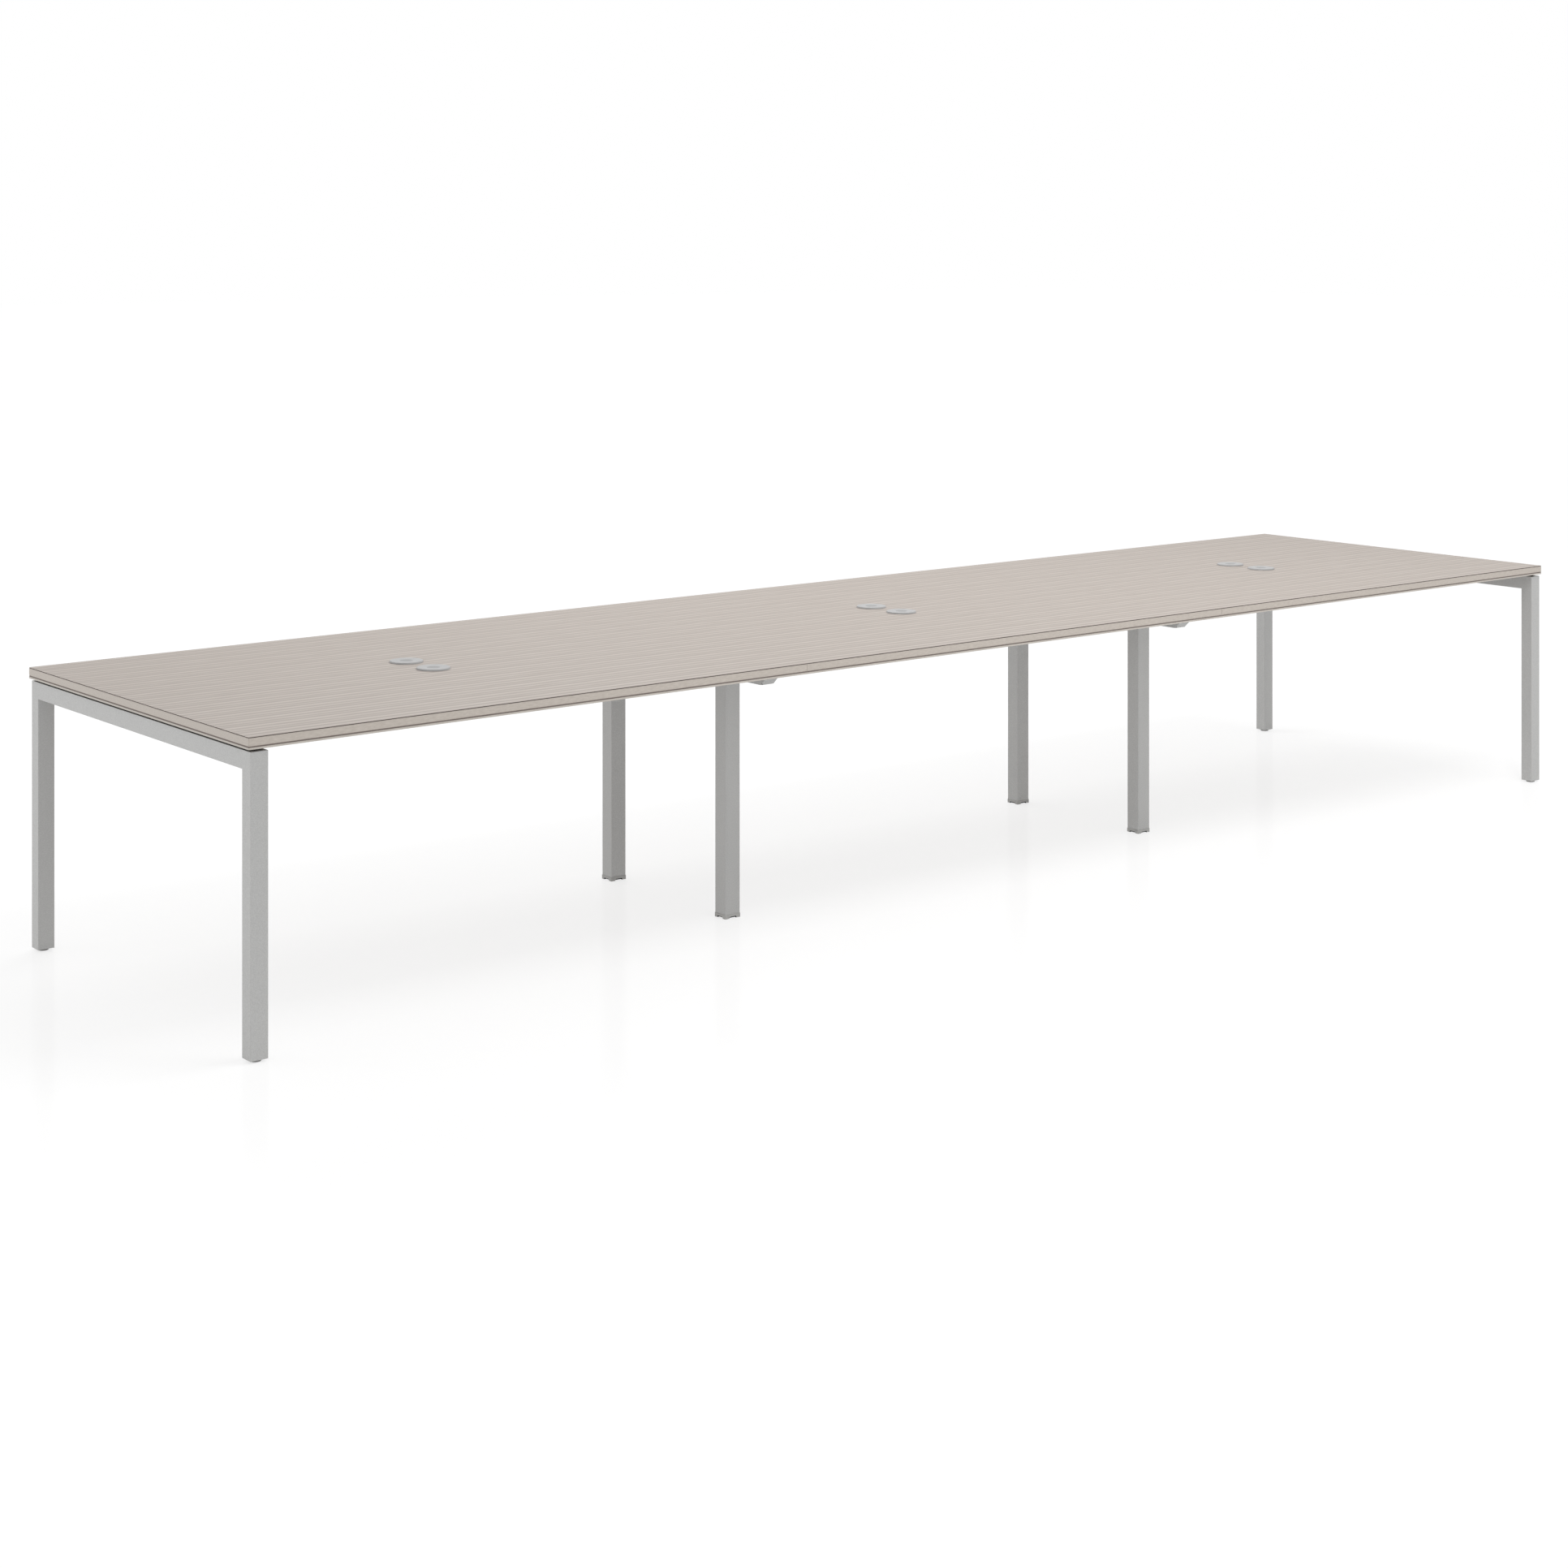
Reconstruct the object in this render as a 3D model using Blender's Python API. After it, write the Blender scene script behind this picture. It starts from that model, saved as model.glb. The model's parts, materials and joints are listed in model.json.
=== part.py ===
"""Bench desk of three bays: laminate desktops on steel tube frames, with cable grommets and levelling feet.

Metres, +Z up. X runs along the desk, the front long edge is at -Y, and the origin is on the floor under the
middle of the desk.
"""

import math

import bmesh
import bpy

# Whole desk
BAY_PITCH = 1.600
DESK_DEPTH = 1.200
DESK_HEIGHT = 0.724
TOP_THICKNESS = 0.028
SEAM_GAP = 0.0012
SHADOW_GAP = 0.006
CONTACT_GAP = 0.0003

# Tubes
TUBE_WALL = 0.002
TUBE_CORNER = 0.001
TUBE_ROOF = 0.003
RAIL_HEIGHT = 0.043

# End frames
END_LEG_X = 0.044
END_LEG_Y = 0.040
END_INSET_X = 0.0065
END_INSET_Y = 0.004

# Middle frames
MID_LEG_X = 0.049
MID_LEG_Y = 0.045
MID_LEG_SETBACK = 0.314
ARM_WIDTH = 0.043
ARM_SETBACK = 0.169
ARM_BEVEL_RUN = 0.046
ARM_CAP_THICKNESS = 0.002

# Beams and spacers
BEAM_WIDTH = 0.030
BEAM_HEIGHT = 0.040
BEAM_SPACING = 0.527
SPACER_INSET = 0.003

# Levelling feet and their plugs
FOOT_SHOW = 0.0055
FOOT_RADIUS = 0.01375
FOOT_ARRIS = 0.0012
STUD_RADIUS = 0.004
STUD_LENGTH = 0.030
PLUG_HEIGHT = 0.025

# Shoes of the middle legs
SHOE_PROUD = 0.00125
SHOE_HEIGHT = 0.011
SHOE_SPIGOT = 0.022
SHOE_SLOT_WIDTH = 0.0235
SHOE_SLOT_HEIGHT = 0.005
SHOE_SLOT_DEPTH = 0.008
SHOE_SLOT_CORNER = 0.0025

# Cable grommets
GROMMET_SPACING = 0.134
GROMMET_HOLE_RADIUS = 0.040
SLEEVE_WALL = 0.0025
SLEEVE_BELOW = 0.003
FLANGE_WIDTH = 0.002
FLANGE_THICKNESS = 0.0015
CAP_LIP_CLEARANCE = 0.0005
CAP_LIP_WIDTH = 0.0015
CAP_FLOOR_CLEARANCE = 0.0007
CAP_PLATE = 0.0026
CAP_ARRIS = 0.0014
CAP_DISH = 0.0008
CAP_RIM_WIDTH = 0.006

# Facets
CORNER_STEPS = 3
ARRIS_STEPS = 2
ROUND_STEPS = 32

SIDES = {"left": -1, "right": 1}
ROWS = {"front": -1, "rear": 1}
BAYS = {"left": -1, "middle": 0, "right": 1}

FINISHES = {
    "laminate": ((0.55, 0.48, 0.43), 0.55, 0.0),
    "powder_coat": ((0.46, 0.46, 0.455), 0.45, 0.3),
    "pale_plastic": ((0.50, 0.50, 0.50), 0.45, 0.0),
    "grey_plastic": ((0.30, 0.30, 0.30), 0.55, 0.0),
    "black_plastic": ((0.02, 0.02, 0.02), 0.60, 0.0),
}

# Levels and places that several pieces share
frame_top = DESK_HEIGHT - TOP_THICKNESS - SHADOW_GAP
rail_bottom = frame_top - RAIL_HEIGHT
rail_middle = frame_top - RAIL_HEIGHT / 2
desk_half_length = BAY_PITCH * len(BAYS) / 2
end_frame_x = desk_half_length - END_INSET_X - END_LEG_X / 2
end_leg_y = DESK_DEPTH / 2 - END_INSET_Y - END_LEG_Y / 2
mid_frame_x = BAY_PITCH / 2
mid_leg_y = DESK_DEPTH / 2 - MID_LEG_SETBACK - MID_LEG_Y / 2
rail_length = 2 * (end_leg_y - END_LEG_Y / 2 - CONTACT_GAP)
arm_half_length = DESK_DEPTH / 2 - ARM_SETBACK
sleeve_radius = GROMMET_HOLE_RADIUS - CONTACT_GAP
flange_radius = GROMMET_HOLE_RADIUS + FLANGE_WIDTH


def clear_scene():
    for old in list(bpy.data.objects):
        bpy.data.objects.remove(old, do_unlink=True)


def finish_material(name, finish):
    """A Principled material of its own for one piece."""
    colour, roughness, metallic = FINISHES[finish]
    material = bpy.data.materials.new(name)
    material.use_nodes = True
    shader = material.node_tree.nodes["Principled BSDF"]
    shader.inputs["Base Color"].default_value = (*colour, 1)
    shader.inputs["Roughness"].default_value = roughness
    shader.inputs["Metallic"].default_value = metallic
    return material


def empty(name, location, parent=None):
    anchor = bpy.data.objects.new(name, None)
    anchor.location = location
    anchor.parent = parent
    bpy.context.scene.collection.objects.link(anchor)
    return anchor


def piece(name, mesh, finish, location, parent, rotation=(0, 0, 0)):
    """One named sub-part; a copy of a repeated piece shares its mesh, with its own material on the object."""
    part = bpy.data.objects.new(name, mesh)
    part.location = location
    part.rotation_euler = rotation
    part.parent = parent
    bpy.context.scene.collection.objects.link(part)
    if not mesh.materials:
        mesh.materials.append(None)
    part.material_slots[0].link = "OBJECT"
    part.material_slots[0].material = finish_material(name, finish)
    return part


def mesh_of(name, bm, smooth_angle=None):
    """Closes the bmesh into a mesh with its faces outwards."""
    bmesh.ops.recalc_face_normals(bm, faces=bm.faces)
    mesh = bpy.data.meshes.new(name)
    bm.to_mesh(mesh)
    bm.free()
    if smooth_angle is not None:
        mesh.shade_smooth()
        mesh.set_sharp_from_angle(angle=smooth_angle)
    return mesh


def rounded_rectangle(width, height, radius):
    """Outline points of a rectangle with round corners, anticlockwise about its centre."""
    points = []
    for corner in range(4):
        side_x = 1 if corner in (0, 3) else -1
        side_y = 1 if corner in (0, 1) else -1
        for step in range(CORNER_STEPS + 1):
            angle = math.pi / 2 * (corner + step / CORNER_STEPS)
            x = side_x * (width / 2 - radius) + radius * math.cos(angle)
            y = side_y * (height / 2 - radius) + radius * math.sin(angle)
            points.append((x, y))
    return points


def loft(loops, ring=False):
    """A bmesh skinned over loops of equal count: capped at both ends, or joined into a ring."""
    bm = bmesh.new()
    rows = [[bm.verts.new(point) for point in loop] for loop in loops]
    pairs = list(zip(rows, rows[1:]))
    if ring:
        pairs.append((rows[-1], rows[0]))
    else:
        bm.faces.new(rows[0])
        bm.faces.new(rows[-1])
    for low, high in pairs:
        for i in range(len(low)):
            j = (i + 1) % len(low)
            bm.faces.new((low[i], low[j], high[j], high[i]))
    return bm


def level(outline, z):
    return [(x, y, z) for x, y in outline]


def turned(name, profile):
    """A mesh spun about Z from (radius, z) points. A profile that starts on the axis ends on it; others close."""
    bm = bmesh.new()
    points = [bm.verts.new((radius, 0, z)) for radius, z in profile]
    ends = points[1:] if profile[0][0] == 0 else points[1:] + points[:1]
    edges = [bm.edges.new(pair) for pair in zip(points, ends)]
    bmesh.ops.spin(
        bm,
        geom=points + edges,
        cent=(0, 0, 0),
        axis=(0, 0, 1),
        angle=2 * math.pi,
        steps=ROUND_STEPS,
        use_merge=True,
    )
    bmesh.ops.remove_doubles(bm, verts=bm.verts, dist=1e-6)
    return mesh_of(name, bm, math.radians(35))


def quarter_arc(centre, radius, start_degrees):
    """Profile points of a quarter circle that turns clockwise from the given direction."""
    points = []
    for step in range(ARRIS_STEPS + 1):
        angle = math.radians(start_degrees - 90 * step / ARRIS_STEPS)
        points.append((centre[0] + radius * math.cos(angle), centre[1] + radius * math.sin(angle)))
    return points


def tube_outlines(width, height):
    outer = rounded_rectangle(width, height, TUBE_CORNER)
    inner = rounded_rectangle(
        width - 2 * TUBE_WALL, height - 2 * TUBE_WALL, max(TUBE_CORNER - TUBE_WALL, TUBE_CORNER / 4)
    )
    return outer, inner


def open_tube(name, width, height, length):
    """A tube along local Z, centred, open at both ends."""
    outer, inner = tube_outlines(width, height)
    half = length / 2
    bm = loft([level(outer, -half), level(outer, half), level(inner, half), level(inner, -half)], ring=True)
    return mesh_of(name, bm, math.radians(35))


def roofed_tube(name, width, height, length):
    """A tube that stands on local Z = 0, open below and closed by a plate on top."""
    outer, inner = tube_outlines(width, height)
    bm = loft([level(inner, length - TUBE_ROOF), level(inner, 0), level(outer, 0), level(outer, length)])
    return mesh_of(name, bm, math.radians(35))


def cutter(name, mesh, location, parent, rotation=(0, 0, 0)):
    tool = bpy.data.objects.new(name, mesh)
    tool.location = location
    tool.rotation_euler = rotation
    tool.parent = parent
    tool.hide_render = True
    tool.display_type = "WIRE"
    bpy.context.scene.collection.objects.link(tool)
    return tool


def cut(part, tool):
    modifier = part.modifiers.new(tool.name, "BOOLEAN")
    modifier.operation = "DIFFERENCE"
    modifier.solver = "EXACT"
    modifier.object = tool


def prism(name, radius_x, radius_y, length, steps):
    """An elliptic prism along local Z, centred, for cutting."""
    outline = []
    for step in range(steps):
        angle = 2 * math.pi * step / steps
        outline.append((radius_x * math.cos(angle), radius_y * math.sin(angle)))
    return mesh_of(name, loft([level(outline, -length / 2), level(outline, length / 2)]))


def box_mesh(name, size_x, size_y, size_z):
    bm = bmesh.new()
    bmesh.ops.create_cube(bm, size=1)
    bmesh.ops.scale(bm, vec=(size_x, size_y, size_z), verts=bm.verts)
    return mesh_of(name, bm)


def build_desktops(desk):
    """Three boards that meet at the seams over the middle frames."""
    hole = prism("grommet_hole", GROMMET_HOLE_RADIUS, GROMMET_HOLE_RADIUS, 2 * TOP_THICKNESS, ROUND_STEPS)
    for bay, place in BAYS.items():
        low = place * BAY_PITCH - BAY_PITCH / 2 + (SEAM_GAP / 2 if bay != "left" else 0)
        high = place * BAY_PITCH + BAY_PITCH / 2 - (SEAM_GAP / 2 if bay != "right" else 0)
        middle_z = DESK_HEIGHT - TOP_THICKNESS / 2
        mesh = box_mesh(f"desktop_{bay}", high - low, DESK_DEPTH, TOP_THICKNESS)
        board = piece(f"desktop_{bay}", mesh, "laminate", ((low + high) / 2, 0, middle_z), desk)
        for row, side in ROWS.items():
            at = (place * BAY_PITCH, side * GROMMET_SPACING / 2, middle_z)
            cut(board, cutter(f"hole_{bay}_{row}", hole, at, desk))


def build_grommets(desk):
    """A flanged sleeve in each hole, and a dished cap whose lip drops over the flange."""
    bore = sleeve_radius - SLEEVE_WALL
    sleeve_foot = -TOP_THICKNESS - SLEEVE_BELOW
    flange_top = CONTACT_GAP + FLANGE_THICKNESS
    sleeve = turned(
        "grommet_sleeve",
        [
            (bore, flange_top),
            (flange_radius, flange_top),
            (flange_radius, CONTACT_GAP),
            (sleeve_radius, CONTACT_GAP),
            (sleeve_radius, sleeve_foot),
            (bore, sleeve_foot),
        ],
    )
    lip_inside = flange_radius + CAP_LIP_CLEARANCE
    cap_radius = lip_inside + CAP_LIP_WIDTH
    plate_under = flange_top + CONTACT_GAP
    cap_top = plate_under + CAP_PLATE
    rim_inside = cap_radius - CAP_RIM_WIDTH
    cap = turned(
        "grommet_cap",
        [
            (0, cap_top - CAP_DISH),
            (rim_inside - CAP_DISH, cap_top - CAP_DISH),
            (rim_inside, cap_top),
            *quarter_arc((cap_radius - CAP_ARRIS, cap_top - CAP_ARRIS), CAP_ARRIS, 90),
            (cap_radius, CAP_FLOOR_CLEARANCE),
            (lip_inside, CAP_FLOOR_CLEARANCE),
            (lip_inside, plate_under),
            (0, plate_under),
        ],
    )
    for bay, place in BAYS.items():
        for row, side in ROWS.items():
            at = (place * BAY_PITCH, side * GROMMET_SPACING / 2, DESK_HEIGHT)
            piece(f"grommet_sleeve_{bay}_{row}", sleeve, "grey_plastic", at, desk)
            piece(f"grommet_cap_{bay}_{row}", cap, "pale_plastic", at, desk)


def build_end_frames(desk):
    """Two corner legs and a rail at each end, with plugs and levelling feet."""
    leg = roofed_tube("end_leg", END_LEG_X, END_LEG_Y, frame_top - FOOT_SHOW)
    rail = open_tube("end_rail", END_LEG_X, RAIL_HEIGHT, rail_length)
    # the spacer ends over the middle of each leg
    spacer = box_mesh(
        "end_spacer", END_LEG_X - 2 * SPACER_INSET, 2 * end_leg_y, SHADOW_GAP - 2 * CONTACT_GAP
    )
    plug = plug_mesh()
    bore_radius = STUD_RADIUS + CONTACT_GAP
    bore = prism("plug_bore", bore_radius, bore_radius, 3 * PLUG_HEIGHT, ROUND_STEPS)
    foot = foot_mesh()
    for side, side_sign in SIDES.items():
        frame = empty(f"end_frame_{side}", (side_sign * end_frame_x, 0, 0), desk)
        upright = (math.pi / 2, 0, 0)
        piece(f"end_rail_{side}", rail, "powder_coat", (0, 0, rail_middle), frame, upright)
        spacer_at = (0, 0, frame_top + SHADOW_GAP / 2)
        piece(f"end_spacer_{side}", spacer, "black_plastic", spacer_at, frame)
        for row, row_sign in ROWS.items():
            corner = (0, row_sign * end_leg_y, FOOT_SHOW)
            piece(f"end_leg_{side}_{row}", leg, "powder_coat", corner, frame)
            plug_part = piece(f"leg_plug_{side}_{row}", plug, "black_plastic", corner, frame)
            cut(plug_part, cutter(f"bore_{side}_{row}", bore, corner, frame))
            foot_at = (0, row_sign * end_leg_y, 0)
            piece(f"levelling_foot_{side}_{row}", foot, "grey_plastic", foot_at, frame)


def plug_mesh():
    """The insert that fills a leg's lower end, before its bore is cut."""
    width = END_LEG_X - 2 * (TUBE_WALL + CONTACT_GAP)
    depth = END_LEG_Y - 2 * (TUBE_WALL + CONTACT_GAP)
    corner = max(TUBE_CORNER - TUBE_WALL, TUBE_CORNER / 4)
    outer = rounded_rectangle(width, depth, corner)
    return mesh_of("leg_plug", loft([level(outer, 0), level(outer, PLUG_HEIGHT)]))


def foot_mesh():
    """A round disc on the floor with a threaded stud that runs up into the plug."""
    disc_top = FOOT_SHOW - CONTACT_GAP
    profile = [
        (0, disc_top + STUD_LENGTH),
        (STUD_RADIUS, disc_top + STUD_LENGTH),
        (STUD_RADIUS, disc_top),
        *quarter_arc((FOOT_RADIUS - FOOT_ARRIS, disc_top - FOOT_ARRIS), FOOT_ARRIS, 90),
        *quarter_arc((FOOT_RADIUS - FOOT_ARRIS, FOOT_ARRIS), FOOT_ARRIS, 0),
        (0, 0),
    ]
    return turned("levelling_foot", profile)


def build_mid_frames(desk):
    """A cross arm with slanted, capped ends under each seam, on two legs with shoes."""
    leg_foot = SHOE_HEIGHT + CONTACT_GAP
    leg = roofed_tube("mid_leg", MID_LEG_X, MID_LEG_Y, rail_bottom - CONTACT_GAP - leg_foot)
    arm = arm_mesh()
    arm_cap = arm_cap_mesh()
    spacer = box_mesh(
        "mid_spacer", ARM_WIDTH - 2 * SPACER_INSET, 2 * arm_half_length, SHADOW_GAP - 2 * CONTACT_GAP
    )
    shoe = shoe_mesh()
    for side, side_sign in SIDES.items():
        frame = empty(f"mid_frame_{side}", (side_sign * mid_frame_x, 0, 0), desk)
        piece(f"mid_arm_{side}", arm, "powder_coat", (0, 0, rail_middle), frame)
        spacer_at = (0, 0, frame_top + SHADOW_GAP / 2)
        piece(f"mid_spacer_{side}", spacer, "black_plastic", spacer_at, frame)
        for row, row_sign in ROWS.items():
            half_turn = (0, 0, 0 if row == "front" else math.pi)
            piece(f"arm_cap_{side}_{row}", arm_cap, "powder_coat", (0, 0, rail_middle), frame, half_turn)
            foot_at = (0, row_sign * mid_leg_y, 0)
            leg_at = (0, row_sign * mid_leg_y, leg_foot)
            piece(f"mid_leg_{side}_{row}", leg, "powder_coat", leg_at, frame)
            shoe_part = piece(f"mid_shoe_{side}_{row}", shoe, "grey_plastic", foot_at, frame)
            cut_slots(shoe_part, f"{side}_{row}", foot_at, frame)


def slanted(outline, bottom_y):
    """Outline points in X and Z, set on the plane that slants outwards from bottom_y towards the front."""
    slope = ARM_BEVEL_RUN / RAIL_HEIGHT
    return [(x, -bottom_y - slope * (z + RAIL_HEIGHT / 2), z) for x, z in outline]


def mirrored(loop):
    return [(x, -y, z) for x, y, z in loop]


def arm_mesh():
    """A tube along Y whose two ends are cut on a slant, longer on top."""
    outer, inner = tube_outlines(ARM_WIDTH, RAIL_HEIGHT)
    front_outer = slanted(outer, arm_half_length)
    front_inner = slanted(inner, arm_half_length)
    loops = [front_outer, mirrored(front_outer), mirrored(front_inner), front_inner]
    return mesh_of("mid_arm", loft(loops, ring=True), math.radians(35))


def arm_cap_mesh():
    """The plate that closes the slanted front end of an arm."""
    outer, _ = tube_outlines(ARM_WIDTH, RAIL_HEIGHT)
    along = math.hypot(ARM_BEVEL_RUN, RAIL_HEIGHT) / RAIL_HEIGHT
    back = arm_half_length + CONTACT_GAP * along
    front = back + ARM_CAP_THICKNESS * along
    return mesh_of("arm_cap", loft([slanted(outer, back), slanted(outer, front)]), math.radians(35))


def shoe_mesh():
    """A collar a little wider than the leg, with a spigot that fills the leg's open end."""
    collar = rounded_rectangle(MID_LEG_X + 2 * SHOE_PROUD, MID_LEG_Y + 2 * SHOE_PROUD, TUBE_CORNER)
    inset = 2 * (TUBE_WALL + CONTACT_GAP)
    corner = max(TUBE_CORNER - TUBE_WALL, TUBE_CORNER / 4)
    spigot = rounded_rectangle(MID_LEG_X - inset, MID_LEG_Y - inset, corner)
    top = SHOE_HEIGHT + SHOE_SPIGOT
    loops = [level(collar, 0), level(collar, SHOE_HEIGHT), level(spigot, SHOE_HEIGHT), level(spigot, top)]
    return mesh_of("mid_shoe", loft(loops))


def cut_slots(shoe, label, at, frame):
    """A blind slot under each side of the shoe leaves a pad at each corner."""
    outline = rounded_rectangle(SHOE_SLOT_WIDTH, 2 * SHOE_SLOT_HEIGHT, SHOE_SLOT_CORNER)
    slot = mesh_of("shoe_slot", loft([level(outline, -SHOE_SLOT_DEPTH), level(outline, SHOE_SLOT_DEPTH)]))
    half_x = MID_LEG_X / 2 + SHOE_PROUD
    half_y = MID_LEG_Y / 2 + SHOE_PROUD
    along_y = (math.pi / 2, 0, 0)
    along_x = (math.pi / 2, 0, math.pi / 2)
    for sign in (-1, 1):
        edge = "low" if sign < 0 else "high"
        on_y = (at[0], at[1] + sign * half_y, at[2])
        on_x = (at[0] + sign * half_x, at[1], at[2])
        cut(shoe, cutter(f"slot_y_{edge}_{label}", slot, on_y, frame, along_y))
        cut(shoe, cutter(f"slot_x_{edge}_{label}", slot, on_x, frame, along_x))


def build_beams(desk):
    """Two tubes along each bay, from frame to frame, level with the tops of the frames."""
    end_face = end_frame_x - END_LEG_X / 2 - CONTACT_GAP
    arm_face = mid_frame_x - ARM_WIDTH / 2 - CONTACT_GAP
    arm_outside = mid_frame_x + ARM_WIDTH / 2 + CONTACT_GAP
    spans = {"left": (-end_face, -arm_outside), "middle": (-arm_face, arm_face), "right": (arm_outside, end_face)}
    along_x = (math.pi / 2, 0, math.pi / 2)
    for bay, (low, high) in spans.items():
        beam = open_tube(f"beam_{bay}", BEAM_WIDTH, BEAM_HEIGHT, high - low)
        for row, side in ROWS.items():
            at = ((low + high) / 2, side * BEAM_SPACING / 2, frame_top - BEAM_HEIGHT / 2)
            piece(f"beam_{bay}_{row}", beam, "powder_coat", at, desk, along_x)


def main():
    clear_scene()
    desk = empty("bench_desk", (0, 0, 0))
    build_desktops(desk)
    build_grommets(desk)
    build_end_frames(desk)
    build_mid_frames(desk)
    build_beams(desk)


main()
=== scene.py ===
import json
import math

import bmesh
import bpy
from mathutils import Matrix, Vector

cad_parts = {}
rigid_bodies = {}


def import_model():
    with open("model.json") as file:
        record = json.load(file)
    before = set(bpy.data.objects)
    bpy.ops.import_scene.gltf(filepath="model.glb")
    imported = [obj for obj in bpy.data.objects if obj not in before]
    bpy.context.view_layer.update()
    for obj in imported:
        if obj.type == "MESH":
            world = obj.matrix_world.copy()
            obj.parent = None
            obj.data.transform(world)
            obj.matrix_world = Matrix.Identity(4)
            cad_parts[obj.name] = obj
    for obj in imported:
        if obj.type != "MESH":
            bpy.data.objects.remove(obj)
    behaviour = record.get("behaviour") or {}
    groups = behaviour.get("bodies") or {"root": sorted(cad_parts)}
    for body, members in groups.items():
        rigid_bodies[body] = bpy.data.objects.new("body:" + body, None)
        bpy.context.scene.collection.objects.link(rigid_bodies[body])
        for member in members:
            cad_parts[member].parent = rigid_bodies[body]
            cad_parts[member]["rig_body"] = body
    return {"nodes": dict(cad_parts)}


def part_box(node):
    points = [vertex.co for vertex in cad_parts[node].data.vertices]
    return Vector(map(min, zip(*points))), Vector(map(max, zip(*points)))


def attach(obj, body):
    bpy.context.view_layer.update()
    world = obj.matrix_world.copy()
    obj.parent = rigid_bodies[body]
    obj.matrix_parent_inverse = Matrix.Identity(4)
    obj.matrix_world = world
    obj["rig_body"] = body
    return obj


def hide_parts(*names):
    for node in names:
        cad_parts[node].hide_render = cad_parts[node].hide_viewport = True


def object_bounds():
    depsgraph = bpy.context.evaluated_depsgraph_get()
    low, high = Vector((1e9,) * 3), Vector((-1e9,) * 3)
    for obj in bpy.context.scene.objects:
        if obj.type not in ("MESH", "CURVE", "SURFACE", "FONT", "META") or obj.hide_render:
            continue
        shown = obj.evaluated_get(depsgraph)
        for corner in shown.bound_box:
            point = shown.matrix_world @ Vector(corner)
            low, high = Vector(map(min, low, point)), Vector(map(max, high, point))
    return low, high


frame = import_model()
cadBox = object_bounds()
mm = 0.001
sides = ("left", "right")
bays = ("left", "middle", "right")
rows = ("front", "rear")
alongX, alongY, alongZ = 0, 1, 2
sameWay, roughlyWay, squareOn = 0.99, 0.9, 0.1  # how far two directions agree
margin = 1 * mm  # enough to tell two places on a piece apart
overshoot = 5 * mm  # how far a cutter runs past what it cuts
plainWhite = (1, 1, 1, 1)
print("frame loaded,", len(frame["nodes"]), "nodes")


# Small helpers for modelling by hand in code

def clearSelection():
    if bpy.context.object and bpy.context.object.mode != "OBJECT":
        bpy.ops.object.mode_set(mode="OBJECT")
    bpy.ops.object.select_all(action="DESELECT")


def take(piece):  # leaves this piece alone selected and active
    clearSelection()
    piece.select_set(True)
    bpy.context.view_layer.objects.active = piece


def settle():  # the place goes into the mesh, and the object back to the origin
    bpy.ops.object.mode_set(mode="OBJECT")
    bpy.ops.object.transform_apply(location=True, rotation=True, scale=True)
    return bpy.context.object


def addBlock(low, high):
    clearSelection()
    low, high = Vector(low), Vector(high)
    bpy.ops.mesh.primitive_cube_add(size=1, location=(low + high) / 2)
    bpy.ops.transform.resize(value=high - low)
    return settle()


def addRound(radius, low, high, sideCount, at=(0, 0)):
    clearSelection()
    middle = (at[0], at[1], (low + high) / 2)
    bpy.ops.mesh.primitive_cylinder_add(
        vertices=sideCount, radius=radius, depth=high - low, location=middle
    )
    return settle()


def pick(piece, kind, test):  # selects faces by middle and normal, or edges by middle and direction
    bpy.ops.mesh.select_mode(type=kind)
    bpy.ops.mesh.select_all(action="DESELECT")
    shape = bmesh.from_edit_mesh(piece.data)
    shape.normal_update()
    if kind == "FACE":
        for face in shape.faces:
            face.select_set(test(face.calc_center_median(), face.normal))
    else:
        for edge in shape.edges:
            start, end = edge.verts[0].co, edge.verts[1].co
            edge.select_set(test((start + end) / 2, (end - start).normalized()))
    bmesh.update_edit_mesh(piece.data)


def edit(piece):
    take(piece)
    bpy.ops.object.mode_set(mode="EDIT")
    bpy.ops.mesh.select_all(action="SELECT")


def near(a, b, slack=0.02 * mm):
    return abs(a - b) < slack


def push(x, y, z):  # extrudes the selection and moves the new end
    bpy.ops.mesh.extrude_region_move(TRANSFORM_OT_translate={"value": (x, y, z)})


def fatten(depth):  # extrudes the selection along its normals, inwards where depth is negative
    bpy.ops.mesh.extrude_region_shrink_fatten(
        TRANSFORM_OT_shrink_fatten={"value": depth, "use_even_offset": True}
    )


def ease(radius, segments=2):  # rounds the picked edges
    bpy.ops.mesh.bevel(offset=radius, segments=segments, affect="EDGES")


def applyModifier(piece, kind, **settings):
    take(piece)
    bpy.ops.object.modifier_add(type=kind)
    modifier = piece.modifiers[-1]
    for key, value in settings.items():
        setattr(modifier, key, value)
    bpy.ops.object.modifier_apply(modifier=modifier.name)


def cutAway(piece, cutter):  # a cutter's own finish, if it has one, goes on the walls that it leaves
    applyModifier(
        piece, "BOOLEAN", operation="DIFFERENCE", solver="EXACT", object=cutter, material_mode="TRANSFER"
    )
    bpy.data.objects.remove(cutter)


def centreOf(node):
    low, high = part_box(node)
    return (low + high) / 2


def copyTo(shape, fromNode, toNode, halfTurn=False):
    take(shape)
    bpy.ops.object.duplicate()
    start = centreOf(fromNode)
    if halfTurn:
        bpy.ops.transform.rotate(value=math.pi, orient_axis="Z", center_override=(0, 0, 0))
        start = Vector((-start.x, -start.y, start.z))
    bpy.ops.transform.translate(value=centreOf(toNode) - start)
    return settle()


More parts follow.
